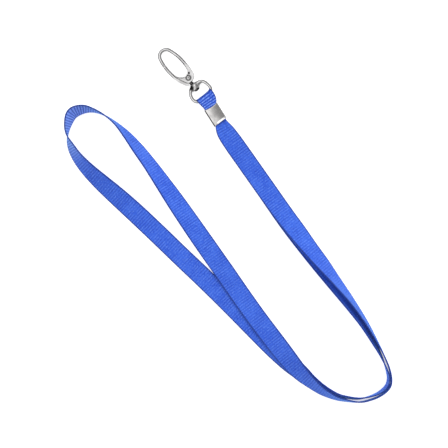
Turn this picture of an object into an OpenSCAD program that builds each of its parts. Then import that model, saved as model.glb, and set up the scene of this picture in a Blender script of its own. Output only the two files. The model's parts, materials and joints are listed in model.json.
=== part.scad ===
// Lanyard with a metal clamp, a swivel D-ring and a sprung oval trigger hook, laid out flat on a table.
// One length of webbing leaves the clamp, runs down and round a standing bend, comes back up, goes round
// the neck loop and returns under itself to the clamp.
// Frame: +Y runs along the swivel from the clamp to the hook, +Z is up and z = 0 is the table.
// Millimetres.

/* [Webbing] */
// Thickness of the webbing
strap_t = 0.9; // [0.8:0.05:0.95]
// Width of the webbing where it wraps the ring's bar
fold_w = 9.2; // [8.8:0.1:9.4]

/* [Clamp] */
// Outer width of the clamp
crimp_w = 8.7; // [8.3:0.1:9.2]
// Length of the clamp along the webbing
crimp_l = 10.8; // [10:0.1:11.5]
// Thickness of the clamp's sheet metal
crimp_t = 0.5; // [0.4:0.05:0.6]
// Angle between the clamp and the swivel, clockwise from above
crimp_turn = 10.5; // [8:0.5:12]

/* [Ring] */
// Radius of the ring's round stock
ring_r = 0.9; // [0.8:0.05:0.9]
// Half width of the ring, to the middle of its stock
ring_half = 6.25; // [6.25:0.05:6.6]
// Angle between the ring and the swivel, clockwise from above
ring_turn = 5; // [3:0.5:6]
// Radius of the running gap round the ring's bar
bar_gap = 0.05; // [0.02:0.01:0.1]

/* [Hook] */
// Length of the hook from the swivel face to its tip
hook_l = 27.2; // [27:0.1:28.5]
// Half width of the hook, to the middle of its stock
hook_half = 5.15; // [4.9:0.05:5.2]
// Radius of the hook's round stock
hook_r = 0.95; // [0.85:0.05:0.98]
// Thickness of each cheek of the hook's fork
cheek_t = 0.8; // [0.7:0.05:0.8]

/* [Pins] */
// Radius of the swivel rivet's shank
swivel_r = 0.9; // [0.8:0.05:0.95]
// Radius of the gate's pin
pin_r = 0.7; // [0.6:0.05:0.75]
// Radial gap of each running fit
fit_gap = 0.05; // [0.02:0.01:0.1]

/* [Hidden] */
$fn = 64;

STRAP = "#3560c8";
STEEL = "#b9bcc0";

// Middle of the whole layout, which becomes the origin
mid_x = -0.65;
mid_y = 0.25;

// The bar of the ring: its middle, half a ring thickness above the table
bar_x = 37.2;
bar_y = 74.8;
mid_z = ring_r + bar_gap + strap_t;

// ---- Route of the webbing ------------------------------------------------------------------------
// Each station: x and y of the strap's middle, the height of what lies under it, its roll about its own
// run (0 flat, 90 standing on edge, positive with the left edge raised) and its width.
ROUTE = [
    // front run, upper layer, from the clamp to the bend
    [34.03, 57.67, 1.85, 0, 7.2], [32.5, 52, 1.6, 0, 10.5], [31.3, 44, 1.25, 0, 11.5], [29.8, 33, 1.05, 0, 11.6],
    [26.7, 10.5, 1.05, -5, 11.6], [24.5, -6, 1.05, -13, 11.6], [23.1, -20, 1.1, -24, 11.6],
    [22, -32, 1.15, -37, 11.6], [21.3, -43.5, 1.15, -48, 11.6], [20.3, -56, 1.3, -62, 11.6],
    [18.9, -71, 1.3, -74, 11.6], [16.6, -85.5, 1.2, -81, 11.6], [13.6, -98, 1.2, -86, 11.6],
    // standing bend, outer layer
    [10.6, -108, 0, -89, 11.6], [7.6, -115.4, 0, -90, 11.6], [3.6, -121, 0, -90, 11.6],
    [-0.6, -123, 0, -90, 11.6], [-6.4, -122.6, 0, -90, 11.6], [-12.2, -120.5, 0, -90, 11.6],
    [-18, -117, 0, -88, 11.6], [-23.2, -110.8, 1, -83, 11.6], [-26.6, -105.6, 1, -78, 11.6],
    [-29.6, -97.6, 1.2, -67, 11.6], [-31.1, -89, 1.75, -55, 11.6],
    // return run, upper layer, and the right arm of the neck loop
    [-31.7, -81, 1.85, -39, 11.6], [-31.4, -72, 1.95, -24, 11.6], [-30.4, -60, 1.7, -10, 11.6],
    [-28.6, -42, 1.05, 0, 11.6], [-26.4, -25, 1, 0, 11.6], [-23.9, -8, 1, 0, 11.6], [-21.7, 8, 1, 3, 11.6],
    [-19.4, 24, 0.5, 14, 11.6], [-17, 40, 0, 25, 11.6], [-14.9, 54, 0, 38, 11.6], [-12.9, 68, 0, 49, 11.6],
    [-11.7, 80, 0, 57, 11.6], [-11, 90, 0, 69, 11.6], [-11.2, 99, 0, 82, 11.6],
    // neck bend, leaning outwards
    [-12.7, 107, 0, 90, 11.6], [-15.5, 113.5, 0, 99, 11.6], [-19.6, 118.2, 0, 114, 11.6],
    [-25.6, 120.6, 0, 122, 11.6], [-31.5, 118, 0, 110, 11.6], [-36.2, 113.8, 0, 93, 11.6],
    [-39.1, 108, 0, 72, 11.6],
    // left arm of the neck loop and the return run, lower layer
    [-41, 100.5, 0, 59, 11.6], [-41.5, 91, 0, 47, 11.6], [-40.85, 80, 0, 34, 11.6], [-39.7, 68, 0, 21, 11.6],
    [-38.5, 54, 0, 9, 11.6], [-37.35, 36, 0, 1, 11.6], [-36.3, 16, 0, 0, 11.6], [-35, -6, 0, 0, 11.6],
    [-34.2, -26, 0, 0, 11.6], [-33.7, -44, 0, 0, 11.6], [-33.3, -58, 0, 8, 11.6], [-32.5, -71, 0, 20, 11.6],
    [-31.4, -81, 0, 37, 11.6], [-30.25, -89, 0, 54, 11.6],
    // standing bend, inner layer
    [-28.3, -97.2, 0, 66, 11.6], [-25.1, -104.8, 0, 77, 11.6], [-21.8, -109.6, 0, 82, 11.6],
    [-16.9, -115.2, 0, 85, 11.6], [-11.2, -118.8, 0, 90, 11.6], [-6, -120.8, 0, 94, 11.6],
    [-0.8, -121.1, 0, 96, 11.6], [2.6, -119.5, 0, 95, 11.6], [5.4, -116.2, 0, 94, 11.6],
    [9, -107.6, 0, 86, 11.6], [11.7, -98, 0, 78, 11.6], [14.4, -85.5, 0, 71, 11.6],
    // front run, lower layer, back to the clamp
    [16, -75, 0, 63, 11.6], [17.3, -65, 0, 54, 11.6], [18.4, -55, 0, 46, 11.6], [19.6, -44, 0, 37, 11.6],
    [21.3, -30, 0, 23, 11.6], [22.8, -17, 0, 12, 11.6], [24.4, -5, 0, 4, 11.6], [26.7, 10.5, 0, 0, 11.6],
    [29.8, 33, 0, 0, 11.6], [31.3, 44, 0.2, 0, 11.5], [32.5, 52, 0.55, 0, 10.5], [34.03, 57.67, 0.9, 0, 7.2]
];

// Sections between two stations
ROUTE_STEPS = 4;

// Stations where one stretch of webbing ends and the next begins
CUT = [0, 11, 23, 31, 37, 45, 52, 58, 70, len(ROUTE) - 1];

// Point p of the route, carried on in a straight line past either end
function station(p) =
    p < 0 ? 2 * ROUTE[0] - ROUTE[1]
    : p >= len(ROUTE) ? 2 * ROUTE[len(ROUTE) - 1] - ROUTE[len(ROUTE) - 2]
    : ROUTE[p];

// Smooth curve through the stations, and its direction
function curve(a, b, c, d, t) =
    (2 * b + (c - a) * t + (2 * a - 5 * b + 4 * c - d) * t * t + (3 * b - a - 3 * c + d) * t * t * t) / 2;
function slope(a, b, c, d, t) =
    ((c - a) + 2 * (2 * a - 5 * b + 4 * c - d) * t + 3 * (3 * b - a - 3 * c + d) * t * t) / 2;

// The four corners of the strap at t between stations i and i + 1
function section(i, t) =
    let (p = [for (k = [-1 : 2]) station(i + k)],
         s = curve(p[0], p[1], p[2], p[3], t),
         v = slope(p[0], p[1], p[2], p[3], t),
         run = [v[0], v[1]] / norm([v[0], v[1]]),
         roll = s[3],
         half = s[4] / 2,
         lift = half * abs(sin(roll)) + (strap_t / 2 + max(s[2], 0)) * abs(cos(roll)),
         across = [-run[1] * cos(roll), run[0] * cos(roll), sin(roll)],
         up = [run[1] * sin(roll), -run[0] * sin(roll), cos(roll)],
         mid = [s[0] - mid_x, s[1] - mid_y, lift])
    [for (c = [[1, 1], [-1, 1], [-1, -1], [1, -1]]) mid + across * half * c[0] + up * strap_t / 2 * c[1]];

// Walls and ends of a tube whose n rings have m points each
function tube_faces(n, m) = concat(
    [[for (k = [0 : m - 1]) k]],
    [for (i = [0 : n - 2], k = [0 : m - 1]) let (a = i * m + k, b = i * m + (k + 1) % m) [a, a + m, b]],
    [for (i = [0 : n - 2], k = [0 : m - 1]) let (a = i * m + k, b = i * m + (k + 1) % m) [b, a + m, b + m]],
    [[for (k = [m - 1 : -1 : 0]) (n - 1) * m + k]]);

// A stretch of webbing from one station to another
module strap(from, to) {
    rings = concat([for (i = [from : to - 1], k = [0 : ROUTE_STEPS - 1]) section(i, k / ROUTE_STEPS)],
                   [section(to - 1, 1)]);
    color(STRAP)
        polyhedron([for (r = rings) each r], tube_faces(len(rings), 4), convexity = 10);
}

module strap_front_upper() { strap(CUT[0], CUT[1]); }
module strap_bend_outer() { strap(CUT[1], CUT[2]); }
module strap_run_upper() { strap(CUT[2], CUT[3]); }
module strap_arm_right() { strap(CUT[3], CUT[4]); }
module strap_neck_bend() { strap(CUT[4], CUT[5]); }
module strap_arm_left() { strap(CUT[5], CUT[6]); }
module strap_run_lower() { strap(CUT[6], CUT[7]); }
module strap_bend_inner() { strap(CUT[7], CUT[8]); }
module strap_front_lower() { strap(CUT[8], CUT[9]); }

// ---- Clamp and the fold of webbing round the ring's bar ----------------------------------------------
crimp_h = 2 * mid_z;                    // outer height, the same as the fold
crimp_top = 6.4;                        // distance from the bar to the clamp
grip_w = crimp_w - 2 * crimp_t;         // webbing inside the clamp, bunched
grip_h = crimp_h - 2 * crimp_t;
bore_r = ring_r + bar_gap;
grip_out = 0.25;                        // how far the gripped block stands out of the clamp
seam_w = 0.25;
seam_x = 1.5;

module at_swivel() { translate([bar_x - mid_x, bar_y - mid_y, mid_z]) children(); }
module at_bar() { at_swivel() rotate(-ring_turn) children(); }
module at_crimp() { at_swivel() rotate(-crimp_turn) translate([0, -crimp_top, 0]) children(); }

// Flat section with round ends, standing in the clamp's cross plane and running away from the bar
module flat_round(w, h, l) {
    rotate([90, 0, 0]) linear_extrude(l) {
        square([w - h, h], center = true);
        for (s = [-1, 1]) translate([s * (w - h) / 2, 0]) circle(h / 2);
    }
}

module crimp() {
    color(STEEL) difference() {
        at_crimp() flat_round(crimp_w, crimp_h, crimp_l);
        at_crimp() translate([0, 1, 0]) flat_round(grip_w, grip_h, crimp_l + 2);
        at_crimp() translate([seam_x, -crimp_l - 1, -crimp_h]) cube([seam_w, crimp_l + 2, crimp_h]);
    }
}

module strap_fold() {
    corner = grip_w / 2;
    c = cos(crimp_turn - ring_turn);
    s = sin(crimp_turn - ring_turn);
    end = crimp_top;
    plan = [[-fold_w / 2, 0], [fold_w / 2, 0],
            [corner * c - end * s, -corner * s - end * c], [-corner * c - end * s, corner * s - end * c]];
    reach = end + corner * s + 1;
    color(STRAP) {
        // half turn round the bar
        at_bar() difference() {
            rotate([0, 90, 0]) cylinder(h = fold_w, r = mid_z, center = true);
            rotate([0, 90, 0]) cylinder(h = fold_w + 2, r = bore_r, center = true);
            translate([-fold_w, -2 * mid_z, -mid_z - 1]) cube([2 * fold_w, 2 * mid_z, 2 * mid_z + 2]);
        }
        // two layers narrowing to the clamp
        at_bar() difference() {
            intersection() {
                translate([0, 0, -mid_z]) linear_extrude(2 * mid_z) polygon(plan);
                rotate([90, 0, 90]) linear_extrude(2 * fold_w, center = true)
                    polygon([[0, mid_z], [-reach, grip_h / 2], [-reach, -grip_h / 2], [0, -mid_z]]);
            }
            rotate([90, 0, 90]) linear_extrude(2 * fold_w, center = true)
                polygon([[1, bore_r], [0, bore_r], [-end + 1.5, 0], [0, -bore_r], [1, -bore_r]]);
        }
        // the part gripped in the clamp
        at_crimp() flat_round(grip_w, grip_h, crimp_l + grip_out);
    }
}

// ---- Swivel D-ring ---------------------------------------------------------------------------------
corner_r = 1.9;                         // bend at each end of the bar
arch_y = 3.4;                           // where the arms turn into the arch
boss_in = 6.8;                          // inner face of the arch at the swivel
boss_out = arch_y + ring_half + ring_r; // outer face, where the hook turns
boss_w = 5.4;
web_t = 2.4;
swivel_gap = 0.08;

module d_ring() {
    color(STEEL) difference() {
        union() {
            at_bar() ring_stock();
            // web that fills the arch up to the swivel
            intersection() {
                at_bar() translate([0, arch_y, -web_t / 2]) cylinder(h = web_t, r = ring_half + ring_r / 2);
                at_swivel() translate([-ring_half, boss_in, -web_t]) cube([2 * ring_half, ring_half, 2 * web_t]);
            }
            // boss, flattened top and bottom
            at_swivel() intersection() {
                translate([0, boss_in, 0]) rotate([-90, 0, 0]) cylinder(h = boss_out - boss_in, r = boss_w / 2);
                translate([-boss_w, 0, -mid_z]) cube([2 * boss_w, 2 * boss_out, 2 * mid_z]);
            }
        }
        at_swivel() translate([0, boss_in - 1, 0])
            rotate([-90, 0, 0]) cylinder(h = boss_out - boss_in + 2, r = swivel_r + fit_gap);
    }
}

// Straight bar, rounded corners, arms and arch
module ring_stock() {
    translate([0, arch_y, 0]) rotate_extrude(angle = 180) translate([ring_half, 0]) circle(ring_r);
    for (s = [-1, 1]) {
        translate([s * ring_half, corner_r, 0])
            rotate([-90, 0, 0]) cylinder(h = arch_y - corner_r, r = ring_r);
        translate([s * (ring_half - corner_r), corner_r, 0])
            rotate(s > 0 ? 270 : 180) rotate_extrude(angle = 90) translate([corner_r, 0]) circle(ring_r);
    }
    rotate([0, 90, 0]) cylinder(h = 2 * (ring_half - corner_r), r = ring_r, center = true);
}

// ---- Hook ------------------------------------------------------------------------------------------
hook_y = boss_out + swivel_gap;         // swivel face of the hook, from the bar
head_r = 1.75;
head_t = 0.95;
shank_in = 1.95;                        // length of the rivet inside the hook

module at_hook() { at_swivel() translate([0, hook_y, 0]) children(); }

module swivel_rivet() {
    foot = boss_in - swivel_gap;
    color(STEEL) at_swivel() {
        translate([0, foot, 0]) rotate([90, 0, 0]) cylinder(h = head_t * 0.5, r = head_r);
        translate([0, foot - head_t * 0.5, 0]) rotate([90, 0, 0]) cylinder(h = head_t * 0.5, r1 = head_r, r2 = 1.1);
        translate([0, foot, 0]) rotate([-90, 0, 0]) cylinder(h = hook_y + shank_in - foot, r = swivel_r);
    }
}

// The oval is made of tangent arcs: a round tip, two long flat sides above its widest place and two
// below. Each arc's middle and radius are those of the stock's middle line.
wide_y = 14.4;
tip_r = 3.9;
tip_y = hook_l - hook_r - tip_r;
upper_r = (pow(hook_half, 2) + pow(tip_y - wide_y, 2) - pow(tip_r, 2)) / (2 * (hook_half - tip_r));
lower_r = 30;
upper_a = atan2(tip_y - wide_y, upper_r - hook_half);
lower_a = 19.5;
step_y = 20.1;                          // where the gate meets the tip
step_l = 0.8;
lap_gap = 0.12;                         // clearance beside the lap
top_gap = 0.36;                         // clearance above it, which the gate's swing needs
fork_gap = mid_z - 0.05 - cheek_t;      // half the space between the cheeks
gate_half = fork_gap - 0.1;
pin_at = [0.9, 4.2];
hub_r = 1.9;
anchor_at = [3, 6.1];
anchor_r = 0.45;
edge_lip = 0.08;                        // how far a flat edge stands proud of the round stock
wing_swell = 0.5;                       // how far the fork's right edge spreads past the oval
eye_at = [0.1, 9.8];                    // round lower end of the eye
eye_r = 3.9;
core_top = 2.1;
core_left = -1.55;

// Middle line of one side, s = 1 right and -1 left, from angle a to b: x, y and the direction outwards
function side_line(s, a, b, n) = [for (k = [0 : n])
    let (c = a + (b - a) * k / n, r = c < 0 ? lower_r : upper_r)
    [s * (hook_half - r + r * cos(c)), wide_y + r * sin(c), s > 0 ? c : 180 - c]];
function tip_line(n) = [for (k = [1 : n - 1])
    let (c = upper_a + (180 - 2 * upper_a) * k / n) [tip_r * cos(c), tip_y + tip_r * sin(c), c]];

// Round stock along such a line
module stock(line) {
    m = 16;
    polyhedron([for (q = line, k = [0 : m - 1]) let (c = 360 * k / m)
                   [q[0] + hook_r * cos(c) * cos(q[2]), q[1] + hook_r * cos(c) * sin(q[2]), -hook_r * sin(c)]],
               tube_faces(len(line), m), convexity = 10);
}

// Points just outside the oval's lower outer edge on the side s, from angle a to angle b, where it swells
function outer_side(s, a, b, swell = 0) = [for (k = [0 : 6])
    let (c = -a - (b - a) * k / 6, r = lower_r + hook_r + edge_lip + swell * k / 6)
    [s * (hook_half - lower_r + r * cos(c)), wide_y + r * sin(c)]];

// Outline of each cheek of the fork: right edge, rounded foot, and the left edge up to a thin horn
cheek_outline = concat(
    [[hook_half - 0.6, 11.5]], outer_side(1, 5, lower_a - 0.5, wing_swell),
    [[3.9, 2.5], [2.8, 1.1], [2, 0.35], [1.2, 0], [-1.2, 0], [core_left, 0.35], [-1.8, 2.3], [-2.7, 4.8],
     [-4, 8.4], [-4.7, 11.4]],
    [for (k = [0 : 10]) let (b = 172 + k * 16.4) [eye_at[0] + eye_r * cos(b), eye_at[1] + eye_r * sin(b)]]);

module cheek_plan() { polygon(cheek_outline); }

// Where the gate's plate and hub turn: clear of the solid part of the fork
module gate_room() {
    translate(pin_at) circle(hub_r + 0.15);
    polygon([[-9, core_top], [pin_at[0], core_top], [pin_at[0], 14], [-9, 14]]);
}

// The half lap between gate and tip: all that lies on the gate's side of it
module gate_side(side_gap, end_gap) {
    lap_x = -hook_half + 0.46 + side_gap;
    polygon([[-9, step_y - step_l - end_gap], [lap_x, step_y - step_l - end_gap],
             [lap_x, step_y - end_gap], [-1, step_y - end_gap], [-1, 12], [-9, 12]]);
}

module hook_frame() {
    color(STEEL) at_hook() difference() {
        union() {
            difference() {
                stock(concat(side_line(1, -14, 0, 5), side_line(1, 2, upper_a, 7), tip_line(20),
                             side_line(-1, upper_a, 8, 5)));
                translate([0, 0, -2]) linear_extrude(4) gate_side(0, 0);
            }
            for (z = [fork_gap, -fork_gap - cheek_t])
                translate([0, 0, z]) linear_extrude(cheek_t) cheek_plan();
            translate([0, 0, -fork_gap - 0.1]) linear_extrude(2 * fork_gap + 0.2) difference() {
                cheek_plan();
                gate_room();
            }
        }
        translate([pin_at[0], pin_at[1], -5]) cylinder(h = 10, r = pin_r);
        for (s = [0, 1]) mirror([0, 0, s])
            translate([pin_at[0], pin_at[1], fork_gap + cheek_t - pin_sink]) cylinder(h = 2, r = pin_head_r + 0.12);
        translate([0, -1, 0]) rotate([-90, 0, 0]) cylinder(h = 1 + shank_in, r = swivel_r);
        // hole and groove for the spring's fixed leg
        translate([anchor_at[0], anchor_at[1], -0.4]) cylinder(h = 4, r = anchor_r);
        translate([pin_at[0], pin_at[1], -0.4])
            rotate(leg_fixed_a) translate([0, -0.4, 0]) cube([leg_l, 0.8, 0.8]);
    }
}

pin_head_r = 1.45;
pin_head_t = 0.35;
pin_sink = 0.35;
pin_dome = 0.15;

module gate_pin() {
    face = fork_gap + cheek_t;
    color(STEEL) at_hook() translate([pin_at[0], pin_at[1], 0]) {
        translate([0, 0, -face + pin_sink / 2]) cylinder(h = 2 * face - pin_sink, r = pin_r);
        for (s = [0, 1]) mirror([0, 0, s])
            translate([0, 0, face - pin_sink]) cylinder(h = pin_head_t - 0.05, r = pin_head_r);
        translate([0, 0, face - 0.05]) cylinder(h = pin_dome, r1 = pin_head_r - 0.2, r2 = 0.6);
    }
}

// Sector of a circle, for the slots that the spring's legs move in
module sector(r, a, b) {
    polygon(concat([[0, 0]], [for (k = [0 : 4]) let (t = a + (b - a) * k / 4) [r * cos(t), r * sin(t)]]));
}

gate_open = 25;
leg_fixed_a = atan2(anchor_at[1] - pin_at[1], anchor_at[0] - pin_at[0]);
leg_l = norm(anchor_at - pin_at);
leg_gate_a = 150;
leg_gate_l = 2.7;
wire_r = 0.16;
coil_r = 1.05;
coil_turns = 2.7;

module gate() {
    color(STEEL) at_hook() difference() {
        union() {
            intersection() {
                stock(concat(side_line(-1, 12, 0, 6), side_line(-1, -1.5, -13, 5)));
                translate([0, 0, -2]) linear_extrude(4) union() {
                    gate_side(lap_gap, top_gap);
                    translate([-9, 0]) square([9, 13]);
                }
            }
            translate([0, 0, -gate_half]) linear_extrude(2 * gate_half) {
                translate(pin_at) circle(hub_r);
                polygon(concat(
                    [[pin_at[0] - 0.85, pin_at[1] + 1.65], [-1.2, 6.5], [-3, 8.2], [-4, 10.2]],
                    outer_side(-1, 6, lower_a - 2.5),
                    [[-3.9, 3.1], [-3.3, 1.7], [-2.5, 0.7], [-1.95, 0.6], [-1.85, 1.4], [-1.9, 2.3],
                     [pin_at[0] - 1, pin_at[1] - 1.6]]));
            }
        }
        translate([pin_at[0], pin_at[1], -2]) cylinder(h = 4, r = pin_r + fit_gap);
        // room for the spring
        translate([pin_at[0], pin_at[1], -0.55]) linear_extrude(1.1) {
            circle(1.5);
            sector(3, leg_fixed_a - 14, leg_fixed_a + gate_open + 14);
            sector(3.2, leg_gate_a - 10, leg_gate_a + gate_open + 20);
        }
    }
}

// The spring's middle line: gate leg, coil, fixed leg and the bent end in its hole
coil_steps = 40;
function coil_point(t) =
    let (a = leg_gate_a + (leg_fixed_a + 360 * 3 - leg_gate_a) * t)
    [coil_r * cos(a), coil_r * sin(a), 0.38 - 0.76 * t];
function spring_line() = concat(
    [[leg_gate_l * cos(leg_gate_a + 8), leg_gate_l * sin(leg_gate_a + 8), 0.38]],
    [for (k = [0 : coil_steps]) coil_point(k / coil_steps)],
    [[(leg_l - 0.15) * cos(leg_fixed_a), (leg_l - 0.15) * sin(leg_fixed_a), -0.2],
     [leg_l * cos(leg_fixed_a), leg_l * sin(leg_fixed_a), 0.1],
     [leg_l * cos(leg_fixed_a), leg_l * sin(leg_fixed_a), 1.3]]);

function ring_at(line, i, r) =
    let (n = len(line),
         run = line[min(i + 1, n - 1)] - line[max(i - 1, 0)],
         t = run / norm(run),
         side = abs(t[2]) > 0.9 ? [-cos(leg_fixed_a), -sin(leg_fixed_a), 0] : [0, 0, 1],
         u0 = cross(t, side),
         u = u0 / norm(u0),
         v = cross(t, u))
    [for (k = [0 : 7]) line[i] + r * (cos(45 * k) * u + sin(45 * k) * v)];

module gate_spring() {
    line = spring_line();
    color("#55585c") at_hook() translate([pin_at[0], pin_at[1], 0])
        polyhedron([for (i = [0 : len(line) - 1]) each ring_at(line, i, wire_r)],
                   tube_faces(len(line), 8), convexity = 10);
}

strap_front_upper();
strap_bend_outer();
strap_run_upper();
strap_arm_right();
strap_neck_bend();
strap_arm_left();
strap_run_lower();
strap_bend_inner();
strap_front_lower();
strap_fold();
crimp();
d_ring();
swivel_rivet();
hook_frame();
gate();
gate_pin();
gate_spring();
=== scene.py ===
"""Looks of a neck lanyard laid out flat: ribbed blue webbing, a clamp, a swivel D-ring and a sprung oval hook.

Everything is in metres in the CAD frame: +Y along the swivel to the hook's tip, +Z up, z = 0 the table.
"""
import json
import math

import bpy
import numpy as np
from mathutils import Matrix, Vector


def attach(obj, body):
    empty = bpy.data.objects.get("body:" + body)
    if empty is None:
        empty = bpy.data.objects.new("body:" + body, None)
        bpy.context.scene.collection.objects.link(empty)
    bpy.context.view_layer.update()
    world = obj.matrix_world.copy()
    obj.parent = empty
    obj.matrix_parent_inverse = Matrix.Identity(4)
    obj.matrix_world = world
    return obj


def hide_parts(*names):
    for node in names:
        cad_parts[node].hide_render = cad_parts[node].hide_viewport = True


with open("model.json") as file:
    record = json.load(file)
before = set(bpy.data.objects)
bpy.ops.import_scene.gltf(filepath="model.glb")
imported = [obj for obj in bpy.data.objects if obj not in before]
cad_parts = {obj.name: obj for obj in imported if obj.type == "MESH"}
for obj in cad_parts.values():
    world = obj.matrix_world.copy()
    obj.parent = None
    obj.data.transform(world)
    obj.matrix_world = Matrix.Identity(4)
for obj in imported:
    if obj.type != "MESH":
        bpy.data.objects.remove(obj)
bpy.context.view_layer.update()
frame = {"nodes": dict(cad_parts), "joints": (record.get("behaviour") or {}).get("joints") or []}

MM = 0.001
JOINTS = {j["name"]: j for j in frame["joints"]}

# ---- camera ----------------------------------------------------------------------------------------
VIEW_TURN = math.radians(-43.0)  # the lanyard lies diagonally in the picture
VIEW_AIM = (-4.35 * MM, 12.75 * MM)
VIEW_WIDTH = 262.1 * MM
VIEW_DISTANCE = 2.4
SENSOR = 36.0

camera = bpy.data.objects.new("camera", bpy.data.cameras.new("camera"))
bpy.context.scene.collection.objects.link(camera)
camera.location = (*VIEW_AIM, VIEW_DISTANCE)
camera.rotation_euler = (0, 0, VIEW_TURN)
camera.data.sensor_width = SENSOR
camera.data.lens = SENSOR * VIEW_DISTANCE / VIEW_WIDTH
camera.data.clip_start = 0.05
camera.data.clip_end = 20
bpy.context.scene.camera = camera
RIGHT = np.array([math.cos(VIEW_TURN), math.sin(VIEW_TURN), 0])  # the picture's right and up
UP = np.array([-math.sin(VIEW_TURN), math.cos(VIEW_TURN), 0])


# ---- node helpers ----------------------------------------------------------------------------------
def linear(*srgb):
    """A colour socket's value from a colour as a screen shows it, 0 to 255."""
    return tuple(((c / 255 + 0.055) / 1.055) ** 2.4 if c > 10 else c / 255 / 12.92 for c in srgb) + (1.0,)


class Nodes:
    """Short names for making the nodes of one tree."""

    def __init__(self, tree):
        self.tree = tree

    def node(self, kind, **props):
        n = self.tree.nodes.new(kind)
        for k, v in props.items():
            setattr(n, k, v)
        return n

    def put(self, value, socket):
        if isinstance(value, bpy.types.NodeSocket):
            self.tree.links.new(value, socket)
        else:
            socket.default_value = value

    def math(self, op, *values, clamp=False):
        n = self.node("ShaderNodeMath", operation=op, use_clamp=clamp)
        for k, v in enumerate(values):
            self.put(v, n.inputs[k])
        return n.outputs[0]

    def mix(self, factor, a, b):
        """A mix of two colours."""
        n = self.node("ShaderNodeMix", data_type="RGBA")
        self.put(factor, n.inputs[0])
        self.put(a, n.inputs[6])
        self.put(b, n.inputs[7])
        return n.outputs[2]

    def mix_values(self, factor, a, b):
        n = self.node("ShaderNodeMix")
        self.put(factor, n.inputs[0])
        self.put(a, n.inputs[2])
        self.put(b, n.inputs[3])
        return n.outputs[0]

    def noise(self, vector, scale, detail, roughness=0.5):
        n = self.node("ShaderNodeTexNoise")
        self.put(vector, n.inputs["Vector"])
        n.inputs["Scale"].default_value = scale
        n.inputs["Detail"].default_value = detail
        n.inputs["Roughness"].default_value = roughness
        return n.outputs["Fac"]

    def attribute(self, name):
        """A number that the mesh gives for each vertex, 0 where it gives none."""
        return self.node("ShaderNodeAttribute", attribute_name=name).outputs["Fac"]

    def ramp(self, value, low, high, to_low=0.0, to_high=1.0):
        """A smooth step of value between low and high."""
        n = self.node("ShaderNodeMapRange", clamp=True, interpolation_type="SMOOTHSTEP")
        self.put(value, n.inputs[0])
        for k, v in enumerate((low, high, to_low, to_high)):
            n.inputs[k + 1].default_value = v
        return n.outputs[0]

    def bump(self, height, strength, distance):
        n = self.node("ShaderNodeBump")
        n.inputs["Strength"].default_value = strength
        n.inputs["Distance"].default_value = distance
        self.put(height, n.inputs["Height"])
        return n.outputs[0]

    def stretched(self, vector, scale):
        n = self.node("ShaderNodeMapping")
        self.put(vector, n.inputs["Vector"])
        n.inputs["Scale"].default_value = scale
        return n.outputs[0]


class MaterialNodes(Nodes):
    """The nodes of a new material."""

    def __init__(self, name):
        self.material = bpy.data.materials.new(name)
        self.material.use_nodes = True
        super().__init__(self.material.node_tree)
        self.shader = self.tree.nodes["Principled BSDF"]

    def set(self, **sockets):
        """Sets or links the shader's sockets, named with _ for a space."""
        for k, v in sockets.items():
            self.put(v, self.shader.inputs[k.replace("_", " ")])
        return self.material


# ---- webbing material ------------------------------------------------------------------------------
RIB = 1.5 * MM  # pitch of the cross ribs
YARNS = 26  # warp yarns across the webbing


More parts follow.
